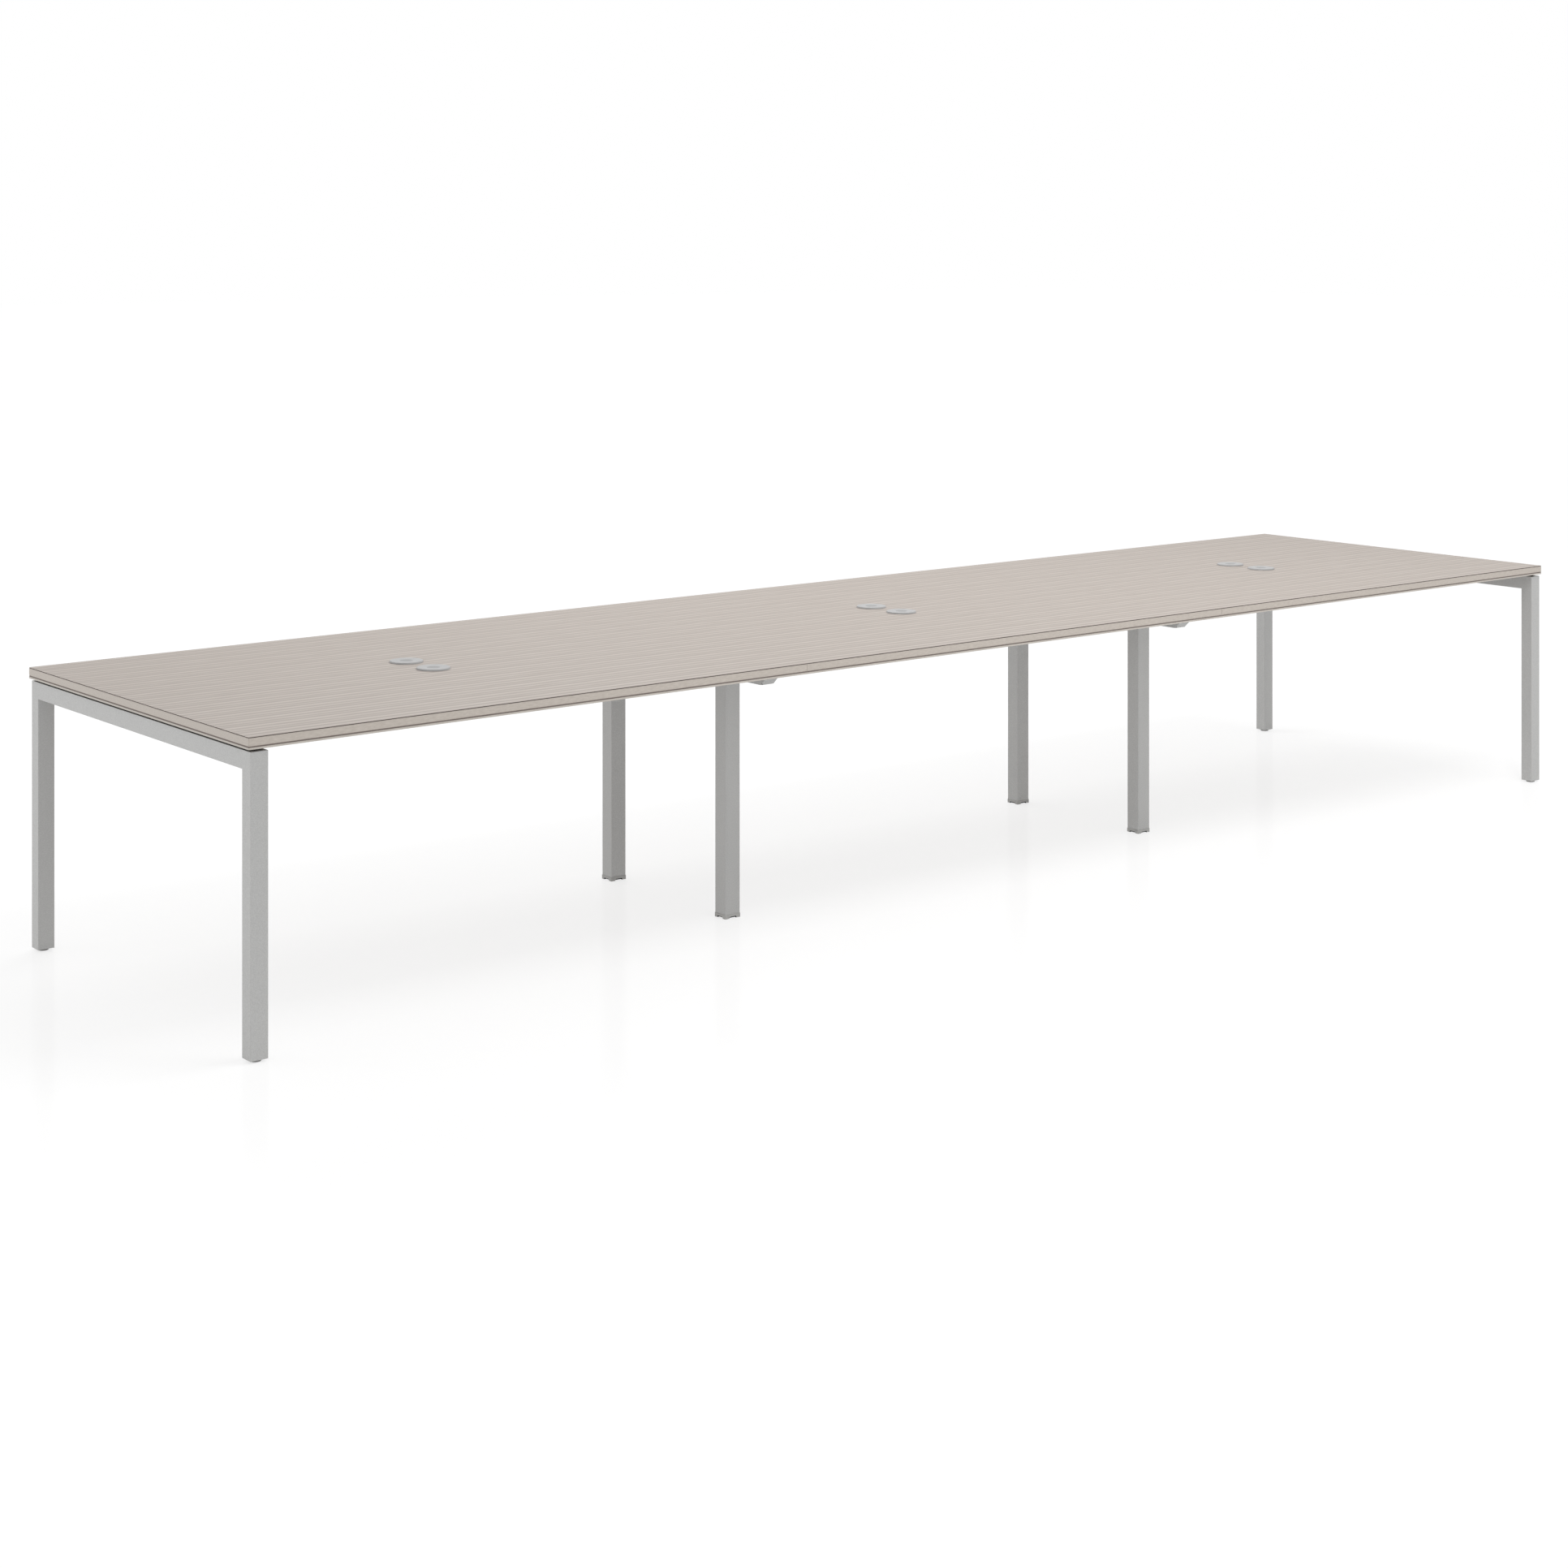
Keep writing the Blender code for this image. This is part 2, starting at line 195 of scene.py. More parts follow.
def finishPiece(piece, name, node, slotName=None, smoothDegrees=40):
    take(piece)
    piece.name = name
    piece.data.name = name
    bpy.ops.object.shade_smooth_by_angle(angle=math.radians(smoothDegrees))
    applyModifier(piece, "WEIGHTED_NORMAL", keep_sharp=True)
    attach(piece, frame["nodes"][node]["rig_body"])
    if slotName:
        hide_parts(node)


def finishCopies(shape, fromNode, prefix, newPrefix, slotName, turnRear=False):
    found = sorted(node for node in frame["nodes"] if node.startswith(prefix))
    for node in found:
        piece = copyTo(shape, fromNode, node, turnRear and node.endswith("rear"))
        finishPiece(piece, node.replace(prefix, newPrefix), node, slotName)
    bpy.data.objects.remove(shape)
    print(newPrefix.strip("_"), "made,", len(found), "pieces")


def wear(piece, *finishes):
    for finish in finishes:
        piece.data.materials.append(finish)
    return piece


def paintPicked(finish):  # gives the picked faces one of the finishes that the piece wears
    piece = bpy.context.object
    piece.active_material_index = piece.material_slots.find(finish.name)
    bpy.ops.object.material_slot_assign()


# Finishes

def linear(hexColour):
    parts = [int(hexColour[i:i + 2], 16) / 255 for i in (1, 3, 5)]
    return [p / 12.92 if p <= 0.04045 else ((p + 0.055) / 1.055) ** 2.4 for p in parts] + [1]


def addNode(tree, kind, inputs={}, stops=(), **settings):
    node = tree.nodes.new("ShaderNode" + kind)
    for key, value in settings.items():
        setattr(node, key, value)
    for key, value in inputs.items():
        if isinstance(value, bpy.types.NodeSocket):
            tree.links.new(value, node.inputs[key])
        else:
            node.inputs[key].default_value = value
    for index, (place, colour) in enumerate(stops):
        ramp = node.color_ramp.elements
        stop = ramp[index] if index < 2 else ramp.new(place)
        stop.position = place
        stop.color = colour
    return node


def newFinish(name):
    finish = bpy.data.materials.new(name)
    finish.use_nodes = True
    tree = finish.node_tree
    return finish, tree, tree.nodes["Principled BSDF"], addNode(tree, "TexCoord").outputs["Object"]


def blendColour(low, high, share):
    return [a + (b - a) * share for a, b in zip(low, high)]


# Melamine-faced chipboard with a printed fine-line wood effect: silk sheen, and straight pale
# lines along the desk
laminateLook = {
    "ground": "#A69D96",
    "line": "#C6BEB6",
    "repeat": 76.2 * mm,
    "firstRepeat": 29.0 * mm,  # from the front edge
    # the pale lines in a repeat: place in mm, strength, and half width in mm
    "lines": ((14.0, 0.72, 12.3), (39.9, 0.56, 6.3), (62.7, 0.65, 10.4)),
    "grainLength": 70 * mm,
    "grainWidth": 1.6 * mm,
    "grainDark": "#F1EFEE",
    "grainStops": (0.35, 0.62),
    "grainDetail": 3,
    "roughness": (0.46, 0.60),
    "ior": 1.45,
    "specular": 0.32,
    "bump": 0.15,
    "bumpDepth": 0.1 * mm,
}


def makeLaminate(look):
    finish, tree, shader, place = newFinish("melamine laminate, fine line print")
    axes = addNode(tree, "SeparateXYZ", {0: place}).outputs
    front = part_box("desktop_left")[0].y + look["firstRepeat"]
    across = addNode(tree, "Math", {0: axes["Y"], 1: -front}, operation="ADD").outputs[0]
    share = addNode(tree, "Math", {0: across, 1: 1 / look["repeat"]}, operation="MULTIPLY").outputs[0]
    phase = addNode(tree, "Math", {0: share}, operation="FRACT").outputs[0]
    ground, line = linear(look["ground"]), linear(look["line"])
    stops = []
    for middle, strength, half in look["lines"]:
        for offset, colour in ((-half, ground), (0, blendColour(ground, line, strength)), (half, ground)):
            stops.append(((middle + offset) * mm / look["repeat"], colour))
    stripes = addNode(tree, "ValToRGB", {0: phase}, stops)
    stripes.color_ramp.interpolation = "EASE"
    # long thin pores, drawn wider than real ones so that they show
    along, wide = 1 / look["grainLength"], 1 / look["grainWidth"]
    fibres = addNode(tree, "Mapping", {"Vector": place, "Scale": (along, wide, wide)}).outputs[0]
    noise = {"Vector": fibres, "Scale": 1, "Detail": look["grainDetail"]}
    grain = addNode(tree, "TexNoise", noise).outputs[0]
    grainStops = zip(look["grainStops"], (linear(look["grainDark"]), plainWhite))
    grainTint = addNode(tree, "ValToRGB", {0: grain}, grainStops).outputs[0]
    mixing = {"data_type": "RGBA", "blend_type": "MULTIPLY"}  # colours go in at 6 and 7, and out at 2
    printed = addNode(tree, "Mix", {0: 1, 6: stripes.outputs[0], 7: grainTint}, **mixing).outputs[2]
    tree.links.new(printed, shader.inputs["Base Color"])
    low, high = look["roughness"]
    sheen = addNode(tree, "MapRange", {"Value": grain, "To Min": high, "To Max": low}).outputs[0]
    tree.links.new(sheen, shader.inputs["Roughness"])
    shader.inputs["IOR"].default_value = look["ior"]
    shader.inputs["Specular IOR Level"].default_value = look["specular"]
    relief = {"Height": grain, "Strength": look["bump"], "Distance": look["bumpDepth"]}
    tree.links.new(addNode(tree, "Bump", relief).outputs[0], shader.inputs["Normal"])
    return finish


# Extruded ABS edging: one plain colour with a faint grain, a little smoother than the top
edgingLook = {"dark": "#C1B8AF", "pale": "#CCC3BA", "grainSize": 3 * mm, "roughness": 0.45, "along": 0.2}
stripLook = {"dark": "#C5BEB6", "pale": "#CCC5BD", "grainSize": 3 * mm, "roughness": 0.5, "along": 0.2}
# The cut edge of the laminate sheet, and the groove under the edging: dull browns, the groove's darkened as
# painted shade
coreLook = {"dark": "#4E4541", "pale": "#5E5450", "grainSize": 1.5 * mm, "roughness": 0.7, "along": 0.1}
# painted shade: this brown stands in for the shade in the shallow groove and in the seams
grooveShadeLook = {"dark": "#746963", "pale": "#7E736D", "grainSize": 1.5 * mm, "roughness": 0.7, "along": 0.1}
# EVA foam strip: matt black with fine cells
foamLook = {"dark": "#141413", "pale": "#1D1D1C", "grainSize": 1.2 * mm, "roughness": 0.85, "along": 1}
# Moulded ABS with a fine spark-eroded texture: even soft grey, duller in the dish of a cap, and painted
# darker there as painted shade of the hollow
capLook = {
    "dark": "#A7A7A7", "pale": "#B1B1B1", "grainSize": 1.0 * mm, "roughness": 0.5, "along": 1,
    "specular": 0.2,
}
# painted shade: the middle of a cap's dish gets this darker grey for the shading of its hollow
dishShadeLook = {
    "dark": "#979797", "pale": "#A1A1A1", "grainSize": 1.0 * mm, "roughness": 0.6, "along": 1,
    "specular": 0.2,
}
linerLook = {"dark": "#9A9A9A", "pale": "#A4A4A4", "grainSize": 1.0 * mm, "roughness": 0.5, "along": 1}
# Glass-filled nylon: dull, slightly mottled where the fibres lie near the surface
footLook = {"dark": "#A2A29F", "pale": "#ADADAA", "grainSize": 1.5 * mm, "roughness": 0.55, "along": 1}
shoeLook = {"dark": "#BABAB8", "pale": "#C3C3C1", "grainSize": 1.5 * mm, "roughness": 0.5, "along": 1}
# the black nylon of the leg inserts, also used as painted shade on the walls of the slots in the shoes
insertNylonAndSlotShadeLook = {"dark": "#191919", "pale": "#222222", "grainSize": 1.5 * mm, "roughness": 0.6, "along": 1}

# What all of these share, unless a look has its own. The grain is drawn coarser than the real one,
# so that it shows
plasticSkin = {
    "stops": (0.35, 0.65),
    "detail": 3,
    "roughSpread": 0.05,
    "specular": 0.5,
    "bump": 0.12,
    "bumpDepth": 0.1 * mm,
}


def makePlastic(name, look):
    look = {**plasticSkin, **look}
    finish, tree, shader, place = newFinish(name)
    stretch = (look["along"] / look["grainSize"], 1 / look["grainSize"], 1 / look["grainSize"])
    skin = addNode(tree, "Mapping", {"Vector": place, "Scale": stretch}).outputs[0]
    grain = addNode(tree, "TexNoise", {"Vector": skin, "Scale": 1, "Detail": look["detail"]}).outputs[0]
    stops = zip(look["stops"], (linear(look["dark"]), linear(look["pale"])))
    tint = addNode(tree, "ValToRGB", {0: grain}, stops).outputs[0]
    tree.links.new(tint, shader.inputs["Base Color"])
    dull = {"Value": grain}
    dull["To Min"] = look["roughness"] - look["roughSpread"]
    dull["To Max"] = look["roughness"] + look["roughSpread"]
    tree.links.new(addNode(tree, "MapRange", dull).outputs[0], shader.inputs["Roughness"])
    shader.inputs["Specular IOR Level"].default_value = look["specular"]
    relief = {"Height": grain, "Strength": look["bump"], "Distance": look["bumpDepth"]}
    tree.links.new(addNode(tree, "Bump", relief).outputs[0], shader.inputs["Normal"])
    return finish


# Silver powder coat on steel: fine orange peel, with aluminium flake that mottles and sparkles
coatLook = {
    "dark": "#B8B8B7",
    "mid": "#BEBEBD",
    "bright": "#C6C6C5",
    "stops": (0.32, 0.5, 0.70),
    "flakeSize": 2.6 * mm,  # coarser than real flake so that it shows
    "flakeDetail": 4,
    "peelSize": 1.1 * mm,
    "peelDetail": 2,
    "roughness": (0.38, 0.52),
    "metallic": 0.25,
    "bump": 0.2,
    "bumpDepth": 0.15 * mm,
}


def makePowderCoat(look):
    finish, tree, shader, place = newFinish("silver powder coated steel")
    noise = {"Vector": place, "Scale": 1 / look["flakeSize"], "Detail": look["flakeDetail"]}
    flake = addNode(tree, "TexNoise", noise).outputs[0]
    stops = zip(look["stops"], [linear(look[key]) for key in ("dark", "mid", "bright")])
    tint = addNode(tree, "ValToRGB", {0: flake}, stops).outputs[0]
    tree.links.new(tint, shader.inputs["Base Color"])
    noise = {"Vector": place, "Scale": 1 / look["peelSize"], "Detail": look["peelDetail"]}
    peel = addNode(tree, "TexNoise", noise).outputs[0]
    low, high = look["roughness"]
    gloss = addNode(tree, "MapRange", {"Value": flake, "To Min": high, "To Max": low}).outputs[0]
    tree.links.new(gloss, shader.inputs["Roughness"])
    shader.inputs["Metallic"].default_value = look["metallic"]
    relief = {"Height": peel, "Strength": look["bump"], "Distance": look["bumpDepth"]}
    tree.links.new(addNode(tree, "Bump", relief).outputs[0], shader.inputs["Normal"])
    return finish


# Zinc-plated steel: bright, slightly blue, with soft cloudy patches
zincLook = {
    "dark": "#9DA1A5",
    "pale": "#BEC2C6",
    "stops": (0.3, 0.7),
    "patchSize": 2 * mm,
    "patchDetail": 3,
    "roughness": (0.25, 0.40),
}


def makeZinc(look):
    finish, tree, shader, place = newFinish("zinc plated steel")
    noise = {"Vector": place, "Scale": 1 / look["patchSize"], "Detail": look["patchDetail"]}
    patch = addNode(tree, "TexNoise", noise).outputs[0]
    stops = zip(look["stops"], (linear(look["dark"]), linear(look["pale"])))
    tree.links.new(addNode(tree, "ValToRGB", {0: patch}, stops).outputs[0], shader.inputs["Base Color"])
    low, high = look["roughness"]
    gloss = addNode(tree, "MapRange", {"Value": patch, "To Min": low, "To Max": high}).outputs[0]
    tree.links.new(gloss, shader.inputs["Roughness"])
    shader.inputs["Metallic"].default_value = 1
    return finish


laminate = makeLaminate(laminateLook)
edging = makePlastic("extruded ABS edging", edgingLook)
baseStrip = makePlastic("pale ABS base strip", stripLook)
darkCore = makePlastic("laminate core, dark brown", coreLook)
grooveShadePaint = makePlastic("dull brown, with painted groove shade", grooveShadeLook)
foam = makePlastic("black EVA foam", foamLook)
capPlastic = makePlastic("moulded pale grey ABS", capLook)
dishShadePlastic = makePlastic("moulded pale grey ABS, matt, with painted dish shade", dishShadeLook)
linerPlastic = makePlastic("moulded grey ABS", linerLook)
footPlastic = makePlastic("grey nylon", footLook)
shoePlastic = makePlastic("silver grey nylon", shoeLook)
insertNylonAndSlotShade = makePlastic("black nylon, also painted slot shade", insertNylonAndSlotShadeLook)
powderCoat = makePowderCoat(coatLook)
zinc = makeZinc(zincLook)
print("finishes made,", len(bpy.data.materials), "materials")


# Desktops: one long board with its edge profile all round, then cut into the three bays

boardSizes = {  # levels are depths below the top face
    "sheet": 0.15 * mm,
    "lineLow": 2.2 * mm,
    "lineDepth": 0.8 * mm,
    "bandLow": 20.2 * mm,
    "grooveLow": 23.4 * mm,
    # level and inset in mm, down the rounded foot of the edging and across the groove
    "edgeRings": ((17.2, 0), (18.2, 0.06), (19.2, 0.2), (19.8, 0.35), (20.2, 0.5), (23.2, 0.5), (23.4, 0)),
    "cornerRound": 3.0 * mm,
    "cornerSegments": 4,
    "bandUpperRound": 0.6 * mm,
    "stripRound": 0.3 * mm,
    "seamGap": 0.3 * mm,
    "seamEase": 0.25 * mm,
    "holeRadius": 40.0 * mm,
    "holeSides": 96,
}


def shapeBoard(sizes):
    low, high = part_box("desktop_left")[0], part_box("desktop_right")[1]
    board = wear(addBlock(low, high), laminate, edging, darkCore, baseStrip, grooveShadePaint)
    depths = ("sheet", "lineLow", "bandLow", "grooveLow")
    sheetZ, lineZ, bandZ, grooveZ = [high.z - sizes[key] for key in depths]
    edit(board)
    pick(board, "EDGE", lambda at, way: abs(way.z) > roughlyWay)
    ease(sizes["cornerRound"], sizes["cornerSegments"])
    for level in [sheetZ, lineZ] + [high.z - depth * mm for depth, inset in sizes["edgeRings"]]:
        bpy.ops.mesh.select_all(action="SELECT")
        bpy.ops.mesh.bisect(plane_co=(0, 0, level), plane_no=(0, 0, 1))
    upper = ((lineZ, sheetZ, darkCore), (bandZ, lineZ, edging))
    # the groove's faces get the brown with painted shade
    lower = ((grooveZ, bandZ, grooveShadePaint), (low.z, grooveZ, baseStrip))
    for lowZ, highZ, finish in upper + lower:
        pick(board, "FACE", lambda at, way: abs(way.z) < squareOn and lowZ < at.z < highZ)
        paintPicked(finish)
    for depth, inset in sizes["edgeRings"]:
        pick(board, "EDGE", lambda at, way: near(at.z, high.z - depth * mm) and abs(way.z) < squareOn)
        shrink = (1 - inset * mm / high.x, 1 - inset * mm / high.y, 1)
        bpy.ops.transform.resize(value=shrink, center_override=(0, 0, 0))
    pick(board, "FACE", lambda at, way: abs(way.z) < squareOn and lineZ < at.z < sheetZ)
    fatten(-sizes["lineDepth"])
    # ease the long arrises, whose edges at a corner stand in by less than the margin
    for level, radius in ((lineZ, sizes["bandUpperRound"]), (low.z, sizes["stripRound"])):
        pick(
            board, "EDGE", lambda at, way: near(at.z, level) and abs(way.z) < squareOn
            and max(abs(at.x) - high.x, abs(at.y) - high.y) > -margin
        )
        ease(radius)
    clearSelection()
    return board


def cutBoards(board, sizes):
    seamX = cadBox[1].x / len(bays)  # half a bay from the middle
    cuts = {"left": ((-seamX, 1),), "middle": ((-seamX, -1), (seamX, 1)), "right": ((seamX, -1),)}
    for bay, ends in cuts.items():
        node = "desktop_" + bay
        low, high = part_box(node)
        piece = copyTo(board, node, node)
        for seam, way in ends:
            cutX = seam - way * sizes["seamGap"] / 2
            edit(piece)
            bpy.ops.mesh.bisect(
                plane_co=(cutX, 0, 0), plane_no=(way, 0, 0), use_fill=True, clear_outer=True
            )
            pick(piece, "FACE", lambda at, normal: normal.x * way > sameWay and abs(at.x) < seamX + margin)
            paintPicked(edging)
            # the edging's corners at a seam are eased and painted with the groove's brown as painted shade
            # of the joint gap, so that the seam shows on the edge
            pick(
                piece, "EDGE", lambda at, along: abs(along.z) > sameWay and near(abs(at.y), high.y)
                and near(at.x, cutX) and at.z > high.z - sizes["bandLow"]
            )
            ease(sizes["seamEase"])
            paintPicked(grooveShadePaint)
        for row in rows:
            at = centreOf(f"grommet_sleeve_{bay}_{row}")
            below, above = low.z - overshoot, high.z + overshoot
            cutAway(piece, addRound(sizes["holeRadius"], below, above, sizes["holeSides"], at[:2]))
        finishPiece(piece, "top_board_" + bay, node, "laminate")
    bpy.data.objects.remove(board)
    print("top boards made,", len(cuts), "pieces")


cutBoards(shapeBoard(boardSizes), boardSizes)


# Grommets: a dished cap whose lip drops over the flange of a liner

capSizes = {
    "sides": 96,
    "draft": 1.2 * mm,
    "arris": 1.4 * mm,
    "arrisSegments": 4,
    "dishRadius": 25 * mm,
    "dishDepth": 1.4 * mm,
    "dishRings": 9,
    "dishFlat": 0.4,  # the flat middle, in ring widths
    "shadedRadius": 18 * mm,
    "lipDrop": 0.25 * mm,
    "lipWidth": 1.5 * mm,
    "plate": 2.6 * mm,
}


def shapeCap(node, sizes):
    low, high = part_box(node)
    low.z -= sizes["lipDrop"]
    radius = (high.x - low.x) / 2
    middle = centreOf(node)
    cap = wear(addRound(radius, low.z, high.z, sizes["sides"], middle[:2]), capPlastic, dishShadePlastic)
    edit(cap)
    pick(cap, "EDGE", lambda at, way: near(at.z, high.z))
    slim = 1 - sizes["draft"] / radius
    bpy.ops.transform.resize(value=(slim, slim, 1), center_override=(middle.x, middle.y, high.z))
    ease(sizes["arris"], sizes["arrisSegments"])
    pick(cap, "FACE", lambda at, way: way.z > sameWay)
    bpy.ops.mesh.inset(thickness=radius - sizes["draft"] - sizes["arris"] - sizes["dishRadius"])
    step = 1 / (sizes["dishRings"] + sizes["dishFlat"])
    for ring in range(sizes["dishRings"]):
        outer, inner = 1 - ring * step, 1 - (ring + 1) * step
        drop = sizes["dishDepth"] * (outer ** 2 - inner ** 2)
        bpy.ops.mesh.inset(thickness=step * sizes["dishRadius"], depth=-drop)

    def inDishShade(at):
        return math.hypot(at.x - middle.x, at.y - middle.y) < sizes["shadedRadius"]

    # painted shade: the middle of the dish takes the darker grey
    pick(cap, "FACE", lambda at, way: way.z > roughlyWay and inDishShade(at))
    paintPicked(dishShadePlastic)
    pick(cap, "FACE", lambda at, way: way.z < -sameWay)
    bpy.ops.mesh.inset(thickness=sizes["lipWidth"])
    push(0, 0, high.z - sizes["plate"] - low.z)
    return cap


linerSizes = {
    "sides": 96,
    "flangeWidth": 2.3 * mm,
    "flangeThickness": 1.5 * mm,
    "wall": 2.5 * mm,
    "edgeRound": 0.4 * mm,
}


def shapeLiner(node, sizes):
    low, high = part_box(node)
    middle = centreOf(node)
    flangeRadius = (high.x - low.x) / 2
    tubeRadius = flangeRadius - sizes["flangeWidth"]
    flangeLow = high.z - sizes["flangeThickness"]
    liner = wear(addRound(tubeRadius, low.z, high.z, sizes["sides"], middle[:2]), linerPlastic)
    edit(liner)
    bpy.ops.mesh.bisect(plane_co=(0, 0, flangeLow), plane_no=(0, 0, 1))
    pick(liner, "FACE", lambda at, way: abs(way.z) < squareOn and at.z > flangeLow)
    fatten(sizes["flangeWidth"])

    def fromAxis(at):
        return math.hypot(at.x - middle.x, at.y - middle.y)

    for end in (1, -1):
        pick(liner, "FACE", lambda at, way: way.z * end > sameWay and fromAxis(at) < margin)
        bpy.ops.mesh.inset(thickness=sizes["wall"])
    pick(liner, "FACE", lambda at, way: abs(way.z) > sameWay and fromAxis(at) < margin)
    bpy.ops.mesh.bridge_edge_loops()
    pick(
        liner, "EDGE", lambda at, way: abs(way.z) < squareOn and fromAxis(at) > tubeRadius + margin
        and (near(at.z, high.z) or near(at.z, flangeLow))
    )
    ease(sizes["edgeRound"])
    return liner


firstLiner = "grommet_sleeve_left_front"
linerShape = shapeLiner(firstLiner, linerSizes)
finishCopies(linerShape, firstLiner, "grommet_sleeve_", "hole_liner_", "sleeve_plastic")
firstCap = "grommet_cap_left_front"
finishCopies(shapeCap(firstCap, capSizes), firstCap, "grommet_cap_", "hole_cap_", "cap_plastic")


# Steel frames: square tube with tight corners

tubeSizes = {
    "cornerRound": 1.0 * mm,
    "cornerSegments": 3,
    "wall": 2.0 * mm,
    "topRound": 0.5 * mm,
    "rimRound": 0.3 * mm,
    "legHollow": 60 * mm,
    "armHollow": 60 * mm,
    "weldGrip": 1.3 * mm,  # how far a rail runs into the rounded corner of a leg, welded flush
    "sitBack": 0.05 * mm,
    "buttGap": 0.25 * mm,
}


def shapeTube(low, high, along, sizes):
    bar = wear(addBlock(low, high), powderCoat)
    edit(bar)
    pick(bar, "EDGE", lambda at, way: abs(way[along]) > roughlyWay)
    ease(sizes["cornerRound"], sizes["cornerSegments"])
    return bar


def shapeLeg(node, sizes, seat=0):
    low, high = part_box(node)
    low.z -= seat
    leg = shapeTube(low, high, alongZ, sizes)
    pick(leg, "EDGE", lambda at, way: near(at.z, high.z))
    ease(sizes["topRound"])
    pick(leg, "FACE", lambda at, way: way.z < -sameWay)
    bpy.ops.mesh.inset(thickness=sizes["wall"])
    push(0, 0, sizes["legHollow"])
    pick(leg, "EDGE", lambda at, way: near(at.z, low.z) and abs(way.z) < squareOn)
    ease(sizes["rimRound"])
    return leg


def shapeRail(node, sizes):
    low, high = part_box(node)
    low.y -= sizes["weldGrip"]
    high.y += sizes["weldGrip"]
    high.z -= sizes["sitBack"]
    return shapeTube(low, high, alongY, sizes)


def shapeBeam(node, sizes):
    low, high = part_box(node)
    low.x -= sizes["buttGap"]
    high.x += sizes["buttGap"]
    beam = shapeTube(low, high, alongX, sizes)
    pick(beam, "EDGE", lambda at, way: abs(way.x) < squareOn and (near(at.x, low.x) or near(at.x, high.x)))
    ease(sizes["rimRound"])
    return beam


armSizes = {
    "slantRun": 46 * mm,  # the ends are this much longer on top
    "plate": 2.0 * mm,
    "plateRound": 0.4 * mm,
    "notchWidth": 5.5 * mm,
    "notchHeight": 4.2 * mm,
}


def slantAt(node, sizes):  # a point on the front end of an arm, and the way that end faces
    low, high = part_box(node)
    way = Vector((0, -(high.z - low.z), -sizes["slantRun"])).normalized()
    return Vector((0, low.y, high.z)), way


def shapeArm(node, sizes, tube):
    low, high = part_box(node)
    arm = shapeTube(low, high, alongY, tube)
    point, way = slantAt(node, sizes)
    for end in (1, -1):  # front, then rear
        cutPoint = (0, point.y * end, point.z)
        cutWay = Vector((0, way.y * end, way.z))
        bpy.ops.mesh.select_all(action="SELECT")
        bpy.ops.mesh.bisect(plane_co=cutPoint, plane_no=cutWay, use_fill=True, clear_outer=True)
        pick(arm, "FACE", lambda at, normal: normal.dot(cutWay) > sameWay)
        bpy.ops.mesh.inset(thickness=tube["wall"])
        push(0, tube["armHollow"] * end, 0)
    return arm


def shapeArmPlate(armNode, sizes, tube):
    low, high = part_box(armNode)
    point, way = slantAt(armNode, sizes)
    reach = sizes["slantRun"] + 2 * overshoot
    plate = shapeTube((low.x, low.y - reach, low.z), (high.x, low.y + reach, high.z), alongY, tube)
    back = point + way * tube["sitBack"]
    front = point + way * sizes["plate"]
    for place, cutWay in ((back, -way), (front, way)):
        bpy.ops.mesh.select_all(action="SELECT")
        bpy.ops.mesh.bisect(plane_co=place, plane_no=cutWay, use_fill=True, clear_outer=True)
    clearSelection()
    bottomY = low.y + sizes["slantRun"]
    notchLow = (low.x - overshoot, bottomY - reach, low.z - overshoot)
    notchHigh = (low.x + sizes["notchWidth"], bottomY + reach, low.z + sizes["notchHeight"])
    cutAway(plate, addBlock(notchLow, notchHigh))
    edit(plate)
    pick(plate, "EDGE", lambda at, along: near((at - front).dot(way), 0))
    ease(sizes["plateRound"])
    return plate


firstLeg = "end_leg_left_front"
finishCopies(shapeLeg(firstLeg, tubeSizes), firstLeg, "end_leg_", "corner_leg_", "powder_coat")
firstRail = "end_rail_left"
finishCopies(shapeRail(firstRail, tubeSizes), firstRail, "end_rail_", "end_bar_", "powder_coat")
firstInner = "mid_leg_left_front"
innerLeg = shapeLeg(firstInner, tubeSizes, tubeSizes["buttGap"])
finishCopies(innerLeg, firstInner, "mid_leg_", "inner_leg_", "powder_coat")
firstArm = "mid_arm_left"
finishCopies(shapeArm(firstArm, armSizes, tubeSizes), firstArm, "mid_arm_", "cross_bar_", "powder_coat")
plateShape = shapeArmPlate(firstArm, armSizes, tubeSizes)
finishCopies(plateShape, "arm_cap_left_front", "arm_cap_", "bar_end_plate_", "powder_coat", True)
for bay in bays:
    firstBeam = f"beam_{bay}_front"
    beamShape = shapeBeam(firstBeam, tubeSizes)
    finishCopies(beamShape, firstBeam, f"beam_{bay}_", f"long_beam_{bay}_", "powder_coat")


# Black strips between the frames and the tops

stripSizes = {"round": 0.9 * mm, "segments": 3, "seat": 0.28 * mm}


def shapeStrip(node, sizes):
    low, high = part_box(node)
    low.z -= sizes["seat"]
    high.z += sizes["seat"]
    strip = wear(addBlock(low, high), foam)
    edit(strip)
    ease(sizes["round"], sizes["segments"])
    return strip


for place in ("end", "mid"):
    firstStrip = f"{place}_spacer_left"
    stripShape = shapeStrip(firstStrip, stripSizes)
    finishCopies(stripShape, firstStrip, f"{place}_spacer_", f"gap_strip_{place}_", "spacer_plastic")


# Shoes of the middle legs: a collar with a slot under each side, its walls painted black as painted shade
# of the hollow, and a spigot up inside the leg

shoeSizes = {
    "collarHeight": 11 * mm,
    "cornerRound": 2.0 * mm,
    "cornerSegments": 4,
    "collarRound": 0.3 * mm,
    "rimBand": 0.5 * mm,  # the edges of the collar's rim stand in by less than this
    "spigotInset": 3.55 * mm,
    "spigotRound": 0.5 * mm,
    "slotWidth": 23.5 * mm,
    "slotHeight": 5.0 * mm,
    "slotDepth": 8 * mm,
    "slotRound": 2.5 * mm,
    "slotSegments": 4,
}


